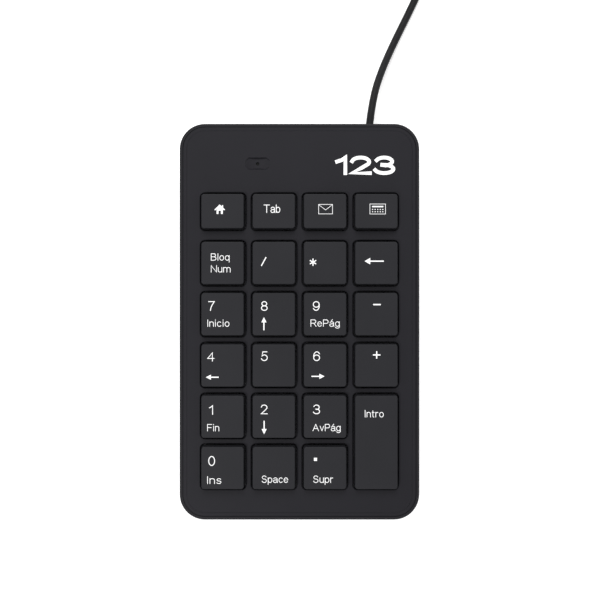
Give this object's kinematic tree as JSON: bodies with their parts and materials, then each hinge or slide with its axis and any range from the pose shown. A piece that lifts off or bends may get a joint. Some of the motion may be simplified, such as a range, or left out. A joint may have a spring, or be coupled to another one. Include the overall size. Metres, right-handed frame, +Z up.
{
  "type": "numeric keypad",
  "caption": "Low wedge-shaped desktop numeric keypad with square keys, a tall enter key, a coiled USB lead and rubber feet.",
  "frame": {"origin": "on the table under the middle of the housing's outline", "axes": "+Z up, +Y to the rear edge, where the cable leaves, +X to the user's right"},
  "size_m": [0.1005, 0.2542, 0.0226],
  "materials": {
    "keycap_plastic": "fine matte moulded black",
    "deck_plastic": "fine matte moulded black",
    "shell_plastic": "matte moulded black",
    "screw_steel": "zinc plated",
    "foot_rubber": "matte rubber",
    "label_film": "silver film, blank",
    "guide_plastic": "plain moulded black",
    "dome_rubber": "translucent silicone",
    "circuit_film": "clear polyester film",
    "plate_steel": "bare steel sheet",
    "circuit_board": "green solder mask",
    "chip_plastic": "moulded epoxy",
    "led_lens": "clear moulded",
    "connector_plastic": "natural nylon",
    "wire_jacket": "thin wire insulation",
    "cable_rubber": "soft black",
    "cable_jacket": "soft satin black jacket",
    "tie_plastic": "black twist tie",
    "plug_plastic": "moulded black",
    "plug_steel": "nickel plated",
    "tongue_plastic": "white insulator",
    "contact_gold": "gold flash",
    "wire_steel": "spring wire"
  },
  "bodies": {
    "housing": {"top_cover": "deck_plastic", "bottom_cover": "shell_plastic", "case_screws": "screw_steel", "rubber_feet": "foot_rubber", "rating_label": "label_film", "key_guide_plate": "guide_plastic", "dome_sheet": "dome_rubber", "upper_membrane": "circuit_film", "spacer_membrane": "circuit_film", "lower_membrane": "circuit_film", "backing_plate": "plate_steel", "controller_board": "circuit_board", "controller_chip": "chip_plastic", "membrane_clamp_bar": "guide_plastic", "clamp_screws": "screw_steel", "board_screws": "screw_steel", "numlock_led": "led_lens", "led_light_pipe": "led_lens", "cable_connector": "connector_plastic", "inner_wires": "wire_jacket", "cable_grommet": "cable_rubber", "usb_cable": "cable_jacket", "usb_cable_coil": "cable_jacket", "usb_cable_end": "cable_jacket", "cable_tie": "tie_plastic", "usb_plug_overmold": "plug_plastic", "usb_plug_shell": "plug_steel", "usb_plug_tongue": "tongue_plastic", "usb_plug_contacts": "contact_gold"},
    "key_home": {"key_home": "keycap_plastic"},
    "key_tab": {"key_tab": "keycap_plastic"},
    "key_mail": {"key_mail": "keycap_plastic"},
    "key_calculator": {"key_calculator": "keycap_plastic"},
    "key_num_lock": {"key_num_lock": "keycap_plastic"},
    "key_divide": {"key_divide": "keycap_plastic"},
    "key_multiply": {"key_multiply": "keycap_plastic"},
    "key_backspace": {"key_backspace": "keycap_plastic"},
    "key_7": {"key_7": "keycap_plastic"},
    "key_8": {"key_8": "keycap_plastic"},
    "key_9": {"key_9": "keycap_plastic"},
    "key_minus": {"key_minus": "keycap_plastic"},
    "key_4": {"key_4": "keycap_plastic"},
    "key_5": {"key_5": "keycap_plastic"},
    "key_6": {"key_6": "keycap_plastic"},
    "key_plus": {"key_plus": "keycap_plastic"},
    "key_1": {"key_1": "keycap_plastic"},
    "key_2": {"key_2": "keycap_plastic"},
    "key_3": {"key_3": "keycap_plastic"},
    "key_enter": {"key_enter": "keycap_plastic"},
    "key_0": {"key_0": "keycap_plastic"},
    "key_space": {"key_space": "keycap_plastic"},
    "key_decimal": {"key_decimal": "keycap_plastic"},
    "enter_bar": {"enter_stabilizer_bar": "wire_steel"}
  },
  "joints": [
    {"name": "key_home_press", "type": "slide", "parent": "housing", "child": "key_home", "axis": [0, -0.0558, 0.9984], "range_m": [-0.0022, 0], "stiffness_N_per_m": 200, "springref_m": 0.0007, "deforming": ["dome_sheet"]},
    {"name": "key_tab_press", "type": "slide", "parent": "housing", "child": "key_tab", "axis": [0, -0.0558, 0.9984], "range_m": [-0.0022, 0], "stiffness_N_per_m": 200, "springref_m": 0.0007, "deforming": ["dome_sheet"]},
    {"name": "key_mail_press", "type": "slide", "parent": "housing", "child": "key_mail", "axis": [0, -0.0558, 0.9984], "range_m": [-0.0022, 0], "stiffness_N_per_m": 200, "springref_m": 0.0007, "deforming": ["dome_sheet"]},
    {"name": "key_calculator_press", "type": "slide", "parent": "housing", "child": "key_calculator", "axis": [0, -0.0558, 0.9984], "range_m": [-0.0022, 0], "stiffness_N_per_m": 200, "springref_m": 0.0007, "deforming": ["dome_sheet"]},
    {"name": "key_num_lock_press", "type": "slide", "parent": "housing", "child": "key_num_lock", "axis": [0, -0.0558, 0.9984], "range_m": [-0.0022, 0], "stiffness_N_per_m": 200, "springref_m": 0.0007, "deforming": ["dome_sheet"]},
    {"name": "key_divide_press", "type": "slide", "parent": "housing", "child": "key_divide", "axis": [0, -0.0558, 0.9984], "range_m": [-0.0022, 0], "stiffness_N_per_m": 200, "springref_m": 0.0007, "deforming": ["dome_sheet"]},
    {"name": "key_multiply_press", "type": "slide", "parent": "housing", "child": "key_multiply", "axis": [0, -0.0558, 0.9984], "range_m": [-0.0022, 0], "stiffness_N_per_m": 200, "springref_m": 0.0007, "deforming": ["dome_sheet"]},
    {"name": "key_backspace_press", "type": "slide", "parent": "housing", "child": "key_backspace", "axis": [0, -0.0558, 0.9984], "range_m": [-0.0022, 0], "stiffness_N_per_m": 200, "springref_m": 0.0007, "deforming": ["dome_sheet"]},
    {"name": "key_7_press", "type": "slide", "parent": "housing", "child": "key_7", "axis": [0, -0.0558, 0.9984], "range_m": [-0.0022, 0], "stiffness_N_per_m": 200, "springref_m": 0.0007, "deforming": ["dome_sheet"]},
    {"name": "key_8_press", "type": "slide", "parent": "housing", "child": "key_8", "axis": [0, -0.0558, 0.9984], "range_m": [-0.0022, 0], "stiffness_N_per_m": 200, "springref_m": 0.0007, "deforming": ["dome_sheet"]},
    {"name": "key_9_press", "type": "slide", "parent": "housing", "child": "key_9", "axis": [0, -0.0558, 0.9984], "range_m": [-0.0022, 0], "stiffness_N_per_m": 200, "springref_m": 0.0007, "deforming": ["dome_sheet"]},
    {"name": "key_minus_press", "type": "slide", "parent": "housing", "child": "key_minus", "axis": [0, -0.0558, 0.9984], "range_m": [-0.0022, 0], "stiffness_N_per_m": 200, "springref_m": 0.0007, "deforming": ["dome_sheet"]},
    {"name": "key_4_press", "type": "slide", "parent": "housing", "child": "key_4", "axis": [0, -0.0558, 0.9984], "range_m": [-0.0022, 0], "stiffness_N_per_m": 200, "springref_m": 0.0007, "deforming": ["dome_sheet"]},
    {"name": "key_5_press", "type": "slide", "parent": "housing", "child": "key_5", "axis": [0, -0.0558, 0.9984], "range_m": [-0.0022, 0], "stiffness_N_per_m": 200, "springref_m": 0.0007, "deforming": ["dome_sheet"]},
    {"name": "key_6_press", "type": "slide", "parent": "housing", "child": "key_6", "axis": [0, -0.0558, 0.9984], "range_m": [-0.0022, 0], "stiffness_N_per_m": 200, "springref_m": 0.0007, "deforming": ["dome_sheet"]},
    {"name": "key_plus_press", "type": "slide", "parent": "housing", "child": "key_plus", "axis": [0, -0.0558, 0.9984], "range_m": [-0.0022, 0], "stiffness_N_per_m": 200, "springref_m": 0.0007, "deforming": ["dome_sheet"]},
    {"name": "key_1_press", "type": "slide", "parent": "housing", "child": "key_1", "axis": [0, -0.0558, 0.9984], "range_m": [-0.0022, 0], "stiffness_N_per_m": 200, "springref_m": 0.0007, "deforming": ["dome_sheet"]},
    {"name": "key_2_press", "type": "slide", "parent": "housing", "child": "key_2", "axis": [0, -0.0558, 0.9984], "range_m": [-0.0022, 0], "stiffness_N_per_m": 200, "springref_m": 0.0007, "deforming": ["dome_sheet"]},
    {"name": "key_3_press", "type": "slide", "parent": "housing", "child": "key_3", "axis": [0, -0.0558, 0.9984], "range_m": [-0.0022, 0], "stiffness_N_per_m": 200, "springref_m": 0.0007, "deforming": ["dome_sheet"]},
    {"name": "key_enter_press", "type": "slide", "parent": "housing", "child": "key_enter", "axis": [0, -0.0558, 0.9984], "range_m": [-0.0022, 0], "stiffness_N_per_m": 200, "springref_m": 0.0007, "deforming": ["dome_sheet"]},
    {"name": "key_0_press", "type": "slide", "parent": "housing", "child": "key_0", "axis": [0, -0.0558, 0.9984], "range_m": [-0.0022, 0], "stiffness_N_per_m": 200, "springref_m": 0.0007, "deforming": ["dome_sheet"]},
    {"name": "key_space_press", "type": "slide", "parent": "housing", "child": "key_space", "axis": [0, -0.0558, 0.9984], "range_m": [-0.0022, 0], "stiffness_N_per_m": 200, "springref_m": 0.0007, "deforming": ["dome_sheet"]},
    {"name": "key_decimal_press", "type": "slide", "parent": "housing", "child": "key_decimal", "axis": [0, -0.0558, 0.9984], "range_m": [-0.0022, 0], "stiffness_N_per_m": 200, "springref_m": 0.0007, "deforming": ["dome_sheet"]},
    {"name": "enter_bar_swing", "type": "hinge", "parent": "housing", "child": "enter_bar", "pos_m": [0.02627, -0.0446, 0.0128], "axis": [0, 0.9984, 0.0558], "range_deg": [0, 16.24]}
  ],
  "couplings": [
    {"joint": "enter_bar_swing", "follows": "key_enter_press", "rad_per_m": -128.41}
  ]
}
